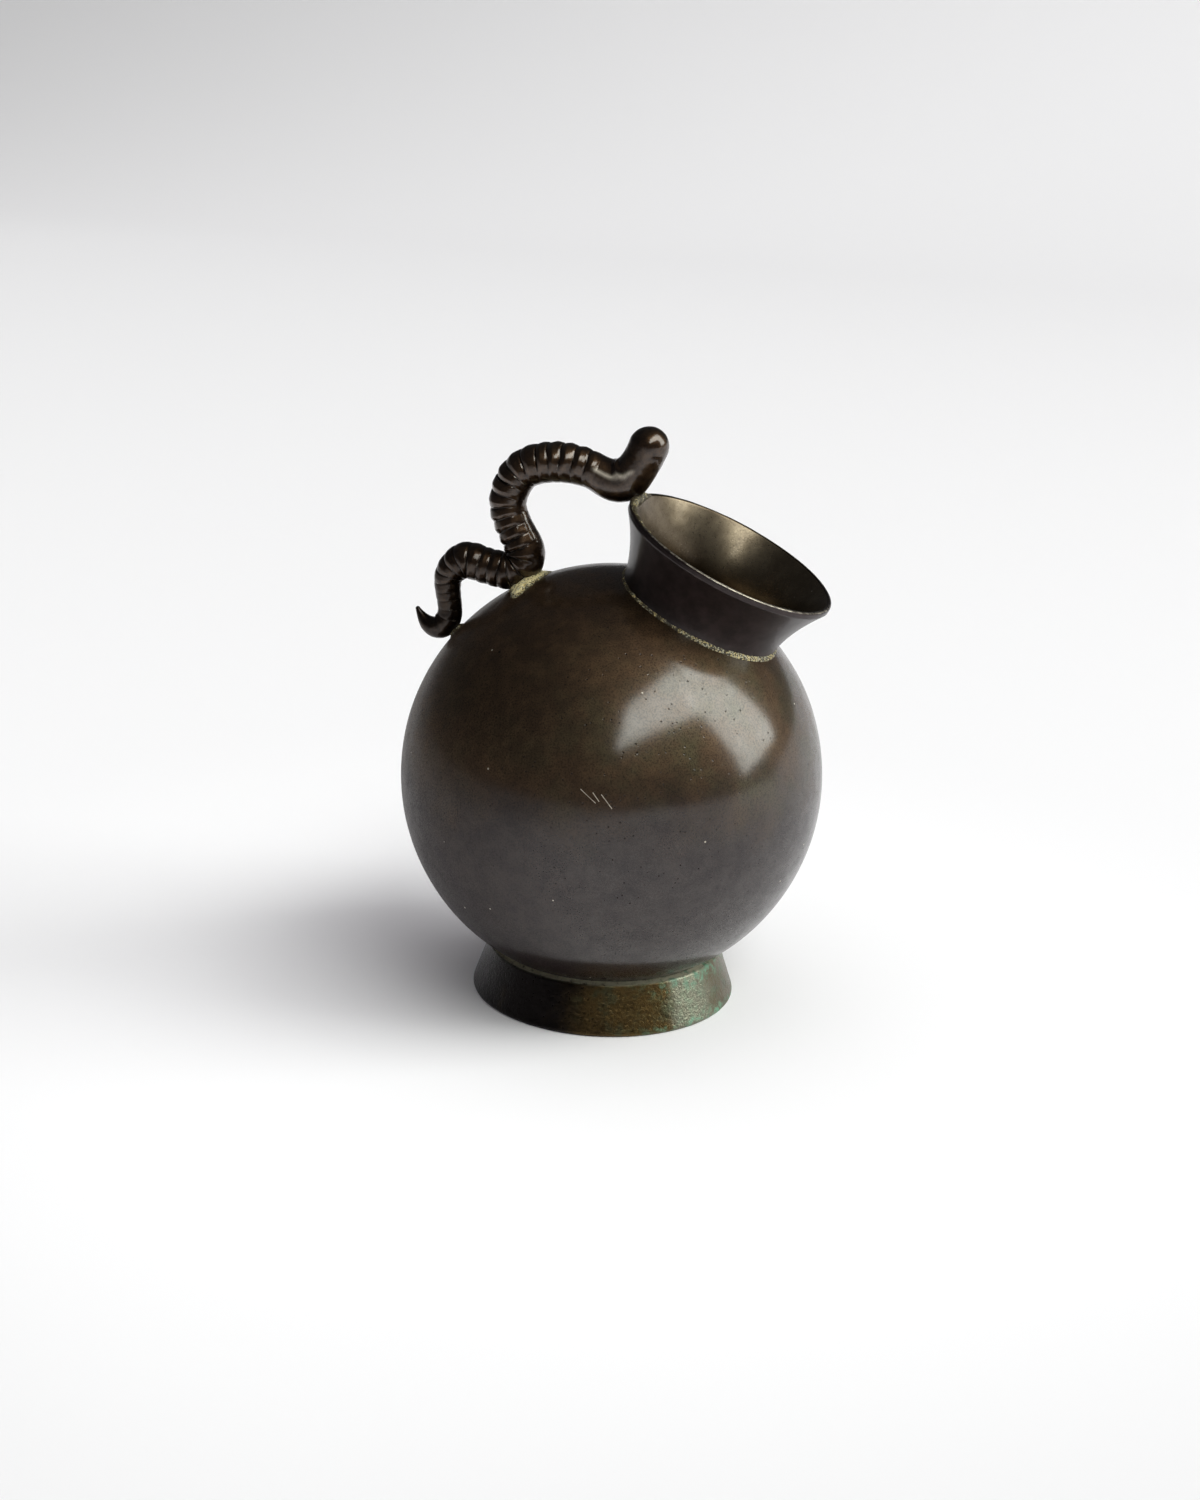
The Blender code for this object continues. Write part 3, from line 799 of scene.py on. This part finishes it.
def foot_radii(sizes):
    """Radii of the lip's outer edge and of the inner wall's top."""
    seat = half_chord(sizes.globe_radius, GLOBE_HEIGHT - sizes.foot_height)
    return sizes.foot_radius - sizes.foot_flare, seat - sizes.foot_seat


def foot_outline(sizes):
    """The foot ring's section, with how rubbed and crusted each point is: lip, cone, edge and inner wall."""
    lip, inner = foot_radii(sizes)
    lean = math.atan(sizes.foot_flare / sizes.foot_height)
    lip_round = sizes.foot_lip_round
    edge_round = sizes.foot_edge_round
    lip_corner = arc((lip - lip_round, sizes.foot_height - lip_round), lip_round, math.pi / 2, lean, 8)
    edge_corner = arc((sizes.foot_radius - edge_round, edge_round), edge_round, lean, -math.pi / 2, 10)
    cone = np.linspace(lip_corner[-1], edge_corner[0], 26)[1:-1].tolist()
    crest = sizes.foot_height + sizes.foot_land
    let_in = 0.12 * MM
    shore = half_chord(sizes.globe_radius, GLOBE_HEIGHT - crest) - let_in
    land = np.linspace((shore, crest), lip_corner[0], 5)[:-1].tolist()
    wall_top = (inner, globe_underside(sizes, inner))
    wall = np.linspace((inner + sizes.foot_flare, 0), wall_top, 14).tolist()
    rows = land + lip_corner + cone + edge_corner + wall
    rubbed = np.pad(LIP_WEAR, (0, len(rows) - len(LIP_WEAR)))
    down = np.linspace(0, 1, len(cone))
    side = 0.2 + 0.8 * np.maximum(smooth_step(-down, -0.35, 0), smooth_step(down, 0.85, 1.0))
    top = [1.0] * (len(land) + len(lip_corner))
    crusted = top + side.tolist() + [1.0] * len(edge_corner) + [0.4] * len(wall)
    return rows, rubbed, crusted


def solder_outline(sizes):
    """A hollow fillet in the corner between the foot ring's inner wall and the globe."""
    wall = foot_radii(sizes)[1]
    leg = sizes.solder_leg
    top = globe_underside(sizes, wall)
    low = np.array((wall, top - leg))
    end = np.array((wall - leg, globe_underside(sizes, wall - leg)))
    t = np.linspace(0, 1, 9)[:, None]
    hollow = 0.3 * leg * np.sin(math.pi * t)
    front = (1 - t) * low + t * end + hollow * np.array((0.7, 0.7))
    return [(wall, top), *front.tolist()]


class VASE_OT_foot(bpy.types.Operator):
    """Turn the flared foot ring and the solder fillet that holds it under the globe"""

    bl_idname = "vase.foot"
    bl_label = "Foot"

    def execute(self, context):
        sizes = context.scene.vase_sizes
        colours = context.scene.vase_colours
        upright = Matrix.Identity(4)
        rows, rubbed, crusted = foot_outline(sizes)
        ring = skin("bronze_foot_ring", turned(rows, upright), closed=True)
        roughen(ring, (6, 0.05, 5), (1.6, 0.02, 6))
        points = places_of(ring)
        points[:, 2] = np.maximum(points[:, 2], 0)
        move_points(ring, points)
        # The tone round the ring paints shade on its left and a highlight on its front right.
        tone_shade_and_highlight = np.interp(np.degrees(steps_round(COLUMNS)), *np.array(FOOT_TONE_SHADE_AND_HIGHLIGHT).T)
        mark(ring, "lip", np.repeat(rubbed, COLUMNS))
        mark(ring, "tone_shade_and_highlight", np.tile(tone_shade_and_highlight, len(rows)))
        mark(ring, "damp", np.outer(crusted, facing(-14, 62)).ravel())
        stand_for(ring, "foot_ring", foot_patina(colours))

        fillet = skin("solder_fillet", turned(solder_outline(sizes), upright), closed=True)
        roughen(fillet, (1.1, 0.12, 7), (0.5, 0.04, 8))
        stand_for(fillet, "foot_solder", solder_metal(colours))
        return {"FINISHED"}


def blurred(values, spread):
    """The rows of an array, smoothed over their neighbours with a bell curve this many rows wide."""
    reach = round(2.5 * spread)
    bell = np.exp(-0.5 * (np.arange(-reach, reach + 1) / spread) ** 2)
    flat = values.reshape(len(values), -1)
    padded = np.pad(flat, ((reach, reach), (0, 0)), mode="reflect", reflect_type="odd")
    smooth = [np.convolve(column, bell / bell.sum(), mode="valid") for column in padded.T]
    return np.stack(smooth, axis=-1).reshape(values.shape)


def lengths_along(curve):
    """Distance of each point of a curve from its start."""
    return np.concatenate([[0], np.cumsum(np.linalg.norm(np.diff(curve, axis=0), axis=-1))])


def resampled(rows, at, wanted):
    """The rows that lie at these distances, read at the wanted ones."""
    return np.stack([np.interp(wanted, at, column) for column in rows.T], axis=-1)


def worm_route(sizes, worm, step, calm=0.8 * MM):
    """Even steps along a calm curve through the knots: distance, x, z, girth, heading and bend."""
    anchors = {
        "rim": rim_back(sizes),
        "saddle": on_globe(sizes, worm.saddle_angle, worm.radius),
        "tail": on_globe(sizes, worm.tail_angle, TAIL_GIRTH * worm.radius),
    }
    knots = [
        Vector((anchors[name].x + dx * MM, anchors[name].z + dz * MM, girth))
        for name, rows in WORM_KNOTS.items()
        for dx, dz, girth in rows
    ]
    ends = [2 * knots[0] - knots[1], *knots, 2 * knots[-1] - knots[-2]]
    points = []
    for before, start, end, after in zip(ends, ends[1:], ends[2:], ends[3:]):
        bend = 2 * before - 5 * start + 4 * end - after
        twist = 3 * start - before - 3 * end + after
        for t in np.arange(60) / 60:
            points.append((2 * start + (end - before) * t + bend * t**2 + twist * t**3) / 2)
    points = np.array([*points, knots[-1]])
    distance = lengths_along(points[:, :2])
    even = np.linspace(0, distance[-1], round(distance[-1] / step))
    x, z, girth = blurred(resampled(points, distance, even), calm / step).T
    heading = np.unwrap(np.arctan2(np.gradient(z), np.gradient(x)))
    return even, x, z, girth, heading, np.gradient(heading, even)


def groove_places(worm, total, rng):
    """Distances along the worm of its grooves, a little uneven and closer towards the tail."""
    ringed = total - worm.plain_head - worm.plain_tail
    count = round(ringed / ((worm.pitch_front + worm.pitch_back) / 2))
    pitches = np.linspace(worm.pitch_front, worm.pitch_back, count) * rng.uniform(0.9, 1.1, count)
    return worm.plain_head + np.concatenate([[0], np.cumsum(pitches)]) * ringed / pitches.sum()


def ring_strength(sizes, worm, along, x, z, heading, turn):
    """How clearly the rings show at each point.

    They are pressed in from both sides, run out towards the loop and are calmer past the saddle.
    """
    saddle = on_globe(sizes, worm.saddle_angle, worm.radius)
    middle = (rim_back(sizes) + saddle) / 2
    way = np.stack([middle.x - x, middle.z - z])
    way /= np.linalg.norm(way, axis=0)
    towards = np.outer(way[1] * np.cos(heading) - way[0] * np.sin(heading), np.cos(turn))
    seated = along[np.argmin(np.hypot(x - saddle.x, z - saddle.z))]
    past = smooth_step(along, seated - 2 * MM, seated + 4 * MM)[:, None]
    loop = (1 - past) * (1 - 0.9 * smooth_step(towards, -0.5, 0.8)) + past * 0.5
    return loop * (0.4 + 0.6 * np.abs(np.sin(turn)))


def worm_rings(worm, along, turn, shown):
    """How far each point of the worm stands out, with how much of a groove and of a crown it is.

    Each ring slopes gently towards the head and steeply towards the tail.
    """
    rng = np.random.default_rng(11)
    spots = np.stack(np.broadcast_arrays(along[:, None] / (9 * MM), np.cos(turn), np.sin(turn)), axis=-1)
    place = along[:, None] + 0.35 * MM * lumps(spots, 1.0, 9)
    places = groove_places(worm, along[-1], rng)
    depth = np.zeros_like(place)
    for at in places:
        deep = rng.uniform(0.7, 1.1) * (1 + 0.3 * np.cos(turn - rng.uniform(0, 2 * math.pi)))
        slant = rng.uniform(-0.25, 0.25) * MM * np.cos(turn)
        wide = worm.groove_width * rng.uniform(0.8, 1.2)
        depth = np.maximum(depth, deep * np.exp(-np.abs((place - at - slant) / wide) ** 3))
    begin = smooth_step(along, places[0] - MM, places[2])
    run_out = 1 - 0.75 * smooth_step(along, places[-8], places[-2])
    shown = shown * (begin * run_out)[:, None]
    ring = np.searchsorted(places, place)
    starts = np.concatenate([[places[0] - 2 * MM], places, [places[-1] + 2 * MM]])
    across = np.clip((place - starts[ring]) / (starts[ring + 1] - starts[ring]), 0, 1)
    slope = np.minimum(across / 0.62, (1 - across) / 0.38)
    crown = (0.75 * slope + 0.25 * np.sin(math.pi / 2 * slope)) * shown
    groove = depth * shown
    relief = worm.swell * (crown - 0.5 * shown) - worm.groove_depth * groove
    return relief, np.clip(groove, 0, 1), crown


def throat_fold_and_highlight(along, turn):
    """How much of the fold along the front of the throat each point is: a low ridge that carries a painted
    highlight line.
    """
    at, degrees = np.array(THROAT_FOLD_AND_HIGHLIGHT).T
    middle = np.interp(along, at * MM, np.radians(degrees))[:, None]
    near = np.exp(-(((turn - middle) / FOLD_SPREAD) ** 2))
    begin = smooth_step(along, at[0] * MM, at[1] * MM)
    run_out = smooth_step(-along, -at[-1] * MM, -at[-2] * MM)
    return near * (begin * run_out)[:, None]


def crease_filling(curve, spread, step=0.05 * MM):
    """How far each point of a curve moves when the curve is smoothed over its own length."""
    distance = lengths_along(curve)
    even = np.arange(0, distance[-1], step)
    sharp = resampled(curve, distance, even)
    moved = blurred(sharp, spread / step) - sharp
    return resampled(moved, even, distance)


def worm_grid(sizes, worm, sides=72, step=0.08 * MM, pinch=0.9):
    """Points of the worm's skin, row by row from head to tail, with its grooves, crowns and fold, the fold
    carrying a painted highlight line.

    In a bend, the inner side reaches at most the pinch, a share of the way to the bend's centre.
    """
    along, x, z, girth, heading, bend = worm_route(sizes, worm, step)
    turn = steps_round(sides)
    shown = ring_strength(sizes, worm, along, x, z, heading, turn)
    relief, groove, crown = worm_rings(worm, along, turn, shown)
    fold_and_highlight = throat_fold_and_highlight(along, turn)
    relief = relief + worm.fold_height * fold_and_highlight
    radius = worm.radius * girth[:, None] + relief * np.minimum(1, girth)[:, None]
    caps = np.radians(np.linspace(88, 6, 16))
    rounded = []
    for end, order in ((0, 1), (-1, -1)):
        lift = -order * radius[end].mean() * np.sin(caps)[::order]
        cap_x = x[end] + lift * math.cos(heading[end])
        cap_z = z[end] + lift * math.sin(heading[end])
        rounded.append((cap_x, cap_z, np.outer(np.cos(caps)[::order], radius[end])))
    x, z, radius = (np.concatenate(rows) for rows in zip(rounded[0], (x, z, radius), rounded[1]))
    heading = np.pad(heading, len(caps), mode="edge")[:, None]
    bend = np.pad(bend, len(caps))[:, None]
    side = radius * np.cos(turn)
    pinched = side * bend > pinch
    side = np.where(pinched, pinch / np.where(pinched, bend, 1), side)
    across = side * np.sin(heading)
    upward = side * np.cos(heading)
    grid = np.stack([x[:, None] - across, radius * np.sin(turn), z[:, None] + upward], axis=-1)
    from_throat = np.abs(np.pad(along, len(caps), mode="edge") - worm.throat)
    near_throat = smooth_step(-from_throat, -8 * MM, -4 * MM)
    inner_side = np.outer(near_throat, np.clip(-np.cos(turn), 0, 1))[..., None]
    grid = grid + inner_side * crease_filling(grid[:, sides // 2], worm.throat_ease)[:, None]
    ends = ((len(caps), len(caps)), (0, 0))
    marks = {"groove": groove, "crown": crown, "fold_and_highlight": fold_and_highlight}
    return grid, {name: np.pad(values, ends) for name, values in marks.items()}


def filed_seats(sizes, points):
    """Presses what would reach into the globe or the neck's rim back onto its surface."""
    centre = np.array(globe_centre())
    away = points - centre
    reach = np.linalg.norm(away, axis=-1, keepdims=True)
    points = centre + away * np.maximum(reach, sizes.globe_radius + SEAT_GAP) / reach
    place = neck_place(sizes)
    local = (points - np.array(place.translation)) @ np.array(place.to_3x3())
    radius = np.hypot(local[:, 0], local[:, 1])
    rim = neck_rim_height(sizes) + SEAT_GAP
    outer = sizes.neck_rim_radius + 0.1 * MM
    inner = sizes.neck_rim_radius - 2.2 * sizes.neck_wall
    over_rim = (radius < outer) & (radius > inner)
    local[:, 2] = np.where(over_rim, np.maximum(local[:, 2], rim), local[:, 2])
    return placed(local, place)


class VASE_OT_worm(bpy.types.Operator):
    """Model the worm handle with its uneven rings and the fold at its throat, which carries a painted
    highlight line
    """

    bl_idname = "vase.worm"
    bl_label = "Worm handle"

    def execute(self, context):
        sizes = context.scene.vase_sizes
        worm = context.scene.vase_worm
        grid, marks = worm_grid(sizes, worm)
        handle = skin("bronze_worm", grid)
        roughen(handle, (3.5, 0.06, 10), (0.9, 0.025, 11))
        move_points(handle, filed_seats(sizes, places_of(handle)))
        tips = (0, 0)
        for name, values in marks.items():
            mark(handle, name, np.append(values.ravel(), tips))
        stand_for(handle, "worm_handle", worm_patina(context.scene.vase_colours))
        return {"FINISHED"}


def bead_outline(sizes):
    """A rounded bead in the corner between the neck's wall and the globe, let into both."""
    wall = sizes.neck_root_radius
    corner = np.array((wall, half_chord(sizes.globe_radius, wall)))
    reach = wall + sizes.bead_leg
    foot = np.array((reach, half_chord(sizes.globe_radius, reach)))
    top = np.array(neck_side(sizes, sizes.bead_leg / sizes.neck_length))
    t = np.linspace(0, 1, 11)[:, None]
    outward = (top + foot) / 2 - corner
    front = (1 - t) * top + t * foot + 0.35 * np.sin(math.pi * t) * outward
    sunk = corner - 0.5 * outward
    return [*front.tolist(), sunk.tolist()]


def pool_grid(sizes, angle_from_top, half_sizes, seed, rows=28, columns=112):
    """A frozen pool of filler on the globe: a grainy hump whose ragged edge runs out under the surface."""
    down, across, height = np.array(half_sizes) * MM
    turn = steps_round(columns)
    circle = np.stack([np.cos(turn), np.sin(turn), np.zeros_like(turn)], axis=-1)
    ragged = 1 + 0.35 * lumps(circle * 1.6, 1.0, seed) + 0.15 * lumps(circle * 5, 1.0, seed + 1)
    out = np.concatenate([np.linspace(0.02, 1, rows), np.linspace(1, 0.02, rows // 2)])[:, None]
    top = np.arange(len(out))[:, None] < rows
    u = down * out * (np.cos(turn) * ragged)
    v = -across * out * (np.sin(turn) * ragged)
    spots = np.stack([u, v, np.zeros_like(u)], axis=-1)
    hump = height * np.exp(-((1.25 * out) ** 4)) - 0.25 * MM * out**2
    grains = 0.16 * MM * lumps(spots, 0.55 * MM, seed + 2) + 0.3 * MM * lumps(spots, 1.5 * MM, seed + 3)
    depth = 0.6 * MM
    reach = sizes.globe_radius + np.where(top, hump + grains * (1 - 0.6 * out), -depth)
    angles = angle_from_top + u / sizes.globe_radius
    tilt = v / sizes.globe_radius
    way = np.stack([-np.sin(angles) * np.cos(tilt), np.sin(tilt), np.cos(angles) * np.cos(tilt)], axis=-1)
    return way * reach[..., None] + np.array(globe_centre())


def rim_bead_grid(sizes, rows=110, columns=32):
    """A crust of filler under the worm's throat that thins out along the inner edge of the neck's rim."""
    at, half_thickness = np.array(RIM_BEAD).T
    degrees = np.linspace(at[0], at[-1], rows)
    thick = np.interp(degrees, at, half_thickness) * MM
    around = steps_round(columns)
    inside_rim = 0.65 * MM
    below_rim = 0.2 * MM
    radius = sizes.neck_rim_radius - inside_rim + np.outer(thick, np.cos(around))
    height = neck_rim_height(sizes) - below_rim + np.outer(thick, np.sin(around))
    turn = np.radians(degrees)[:, None]
    grid = np.stack([radius * np.cos(turn), radius * np.sin(turn), height], axis=-1)
    return placed(grid, neck_place(sizes))


class VASE_OT_braze(bpy.types.Operator):
    """Run the grainy braze: the bead round the neck, the pools under the worm and the fillet on the rim"""

    bl_idname = "vase.braze"
    bl_label = "Braze"

    def execute(self, context):
        sizes = context.scene.vase_sizes
        worm = context.scene.vase_worm
        metal = braze_metal(context.scene.vase_colours)
        columns = 1000
        outline = bead_outline(sizes)
        full = turned(outline, neck_place(sizes), columns)
        corner = turned([outline[-1]] * len(outline), neck_place(sizes), columns)
        fresh = facing(-40, 80, columns)
        bead = skin("neck_braze_bead", corner + (full - corner) * (0.65 + 0.35 * fresh)[:, None], closed=True)
        roughen(bead, (2.5, 0.12, 12), (0.5, 0.11, 13), (0.22, 0.05, 14))
        mark(bead, "bright", np.tile(0.35 + 0.48 * fresh, len(outline)))
        stand_for(bead, "neck_braze", metal)

        saddle_seat = worm.saddle_angle + SADDLE_POOL_SHIFT
        for name, node, seat, half_sizes, seed, shine in (
            ("saddle_braze_pool", "saddle_braze", saddle_seat, SADDLE_POOL, 20, 1.0),
            ("tail_braze_pool", "tail_braze", worm.tail_angle, TAIL_POOL, 30, 0.2),
        ):
            grid = pool_grid(sizes, seat, half_sizes, seed)
            pool = skin(name, grid)
            rows, around, _ = grid.shape
            top_rows = rows * 2 // 3
            core = np.pad(smooth_step(np.linspace(1, 0, top_rows), 0, 0.3), (0, rows - top_rows))
            tips = (1, 0)
            mark(pool, "bright", shine * np.append(np.repeat(core, around), tips))
            stand_for(pool, node, metal)

        fillet = skin("rim_braze_fillet", rim_bead_grid(sizes))
        roughen(fillet, (1.4, 0.15, 40), (0.5, 0.12, 41), (0.22, 0.05, 42))
        mark(fillet, "bright", np.full(len(fillet.data.vertices), 0.25))
        stand_for(fillet, "rim_braze", metal)
        return {"FINISHED"}


def direction(turn, rise):
    """A unit vector at a turn to the right of -Y, seen from above, and a rise above the horizon."""
    return Vector((math.sin(turn) * math.cos(rise), -math.cos(turn) * math.cos(rise), math.sin(rise)))


def soft_light(name, radiance, glow, setting, distance=5.0):
    """A rectangular light that looks at the globe from a turn and rise, then is swung, tipped and rolled."""
    light = bpy.data.lights.new(name, "AREA")
    light.shape = "RECTANGLE"
    light.size = setting["width"] * distance
    light.size_y = setting["height"] * distance
    light.energy = radiance * math.pi * light.size * light.size_y
    light.color = glow
    obj = add_object(name, light)
    way = direction(math.radians(setting["turn"]), math.radians(setting["rise"]))
    aim = (-way).to_track_quat("-Z", "Y").to_matrix().to_4x4()
    for key, axis in (("swing", "Y"), ("tip", "X"), ("roll", "Z")):
        aim = rotated(aim, (math.radians(setting[key]), axis))
    obj.matrix_world = Matrix.Translation(globe_centre() + way * distance) @ aim
    obj.visible_camera = False
    return obj


def paper_sweep(stage, width=9.0, front=-5.0, back=1.2, bend=0.8, rise=math.radians(44)):
    """A sheet of paper that lies flat under the vase and curves up a little far behind it."""
    profile = [(front, 0), (-1, 0), (0, 0), (back / 2, 0)]
    profile += arc((back, bend), bend, -math.pi / 2, rise - math.pi / 2, 24)
    sides = np.linspace(-width / 2, width / 2, 9)
    points = [(x, y, z) for y, z in profile for x in sides]
    step = len(sides)
    faces = [
        (row * step + k, row * step + k + 1, (row + 1) * step + k + 1, (row + 1) * step + k)
        for row in range(len(profile) - 1)
        for k in range(step - 1)
    ]
    mesh = bpy.data.meshes.new("paper_sweep")
    mesh.from_pydata(points, [], faces)
    mesh.shade_smooth()
    mesh.materials.append(paper(stage))
    sweep = add_object("paper_sweep", mesh)


class VASE_OT_stage(bpy.types.Operator):
    """Lay the paper sweep, hang the soft lights and set the camera"""

    bl_idname = "vase.stage"
    bl_label = "Stage"

    def execute(self, context):
        scene = context.scene
        stage = scene.vase_stage
        scene.view_settings.view_transform = "Standard"
        world = bpy.data.worlds.new("dim_room")
        world.use_nodes = True
        world.node_tree.nodes["Background"].inputs["Color"].default_value = (*stage.room, 1)
        scene.world = world
        paper_sweep(stage)
        soft_light("window_light", stage.window, stage.glow, WINDOW)
        soft_light("ceiling_light", stage.ceiling, stage.glow, CEILING)
        overhead = soft_light("overhead_fill", stage.fill, (1, 1, 1), OVERHEAD)
        overhead.visible_glossy = False

        camera = bpy.data.cameras.new("camera")
        camera.lens = stage.lens
        camera.clip_start = 0.01
        obj = add_object("camera", camera)
        pitch = math.pi / 2 - stage.camera_pitch
        place = Matrix.Translation(stage.camera_place)
        obj.matrix_world = rotated(place, (stage.camera_turn, "Z"), (pitch, "X"), (stage.camera_roll, "Z"))
        scene.camera = obj
        return {"FINISHED"}


OPERATORS = (VASE_OT_globe, VASE_OT_neck, VASE_OT_foot, VASE_OT_worm, VASE_OT_braze, VASE_OT_stage)
GROUPS = {
    "vase_sizes": VaseSizes,
    "vase_worm": WormSizes,
    "vase_colours": VaseColours,
    "vase_stage": StageSettings,
}


class VASE_PT_panel(bpy.types.Panel):
    """The vase's sizes and colours, and a button for each piece"""

    bl_idname = "VASE_PT_panel"
    bl_label = "Bronze vase"
    bl_space_type = "VIEW_3D"
    bl_region_type = "UI"
    bl_category = "Vase"

    def draw(self, context):
        for operator in OPERATORS:
            self.layout.operator(operator.bl_idname)
        for name, group in GROUPS.items():
            box = self.layout.box()
            for key in group.__annotations__:
                box.prop(getattr(context.scene, name), key)


CLASSES = (*GROUPS.values(), *OPERATORS, VASE_PT_panel)


def register():
    for cls in CLASSES:
        bpy.utils.register_class(cls)
    for name, group in GROUPS.items():
        setattr(bpy.types.Scene, name, bpy.props.PointerProperty(type=group))


def unregister():
    for name in GROUPS:
        delattr(bpy.types.Scene, name)
    for cls in reversed(CLASSES):
        bpy.utils.unregister_class(cls)


def main():
    register()
    bpy.ops.vase.globe()
    bpy.ops.vase.neck()
    bpy.ops.vase.foot()
    bpy.ops.vase.worm()
    bpy.ops.vase.braze()
    bpy.ops.vase.stage()


if __name__ == "__main__":
    main()
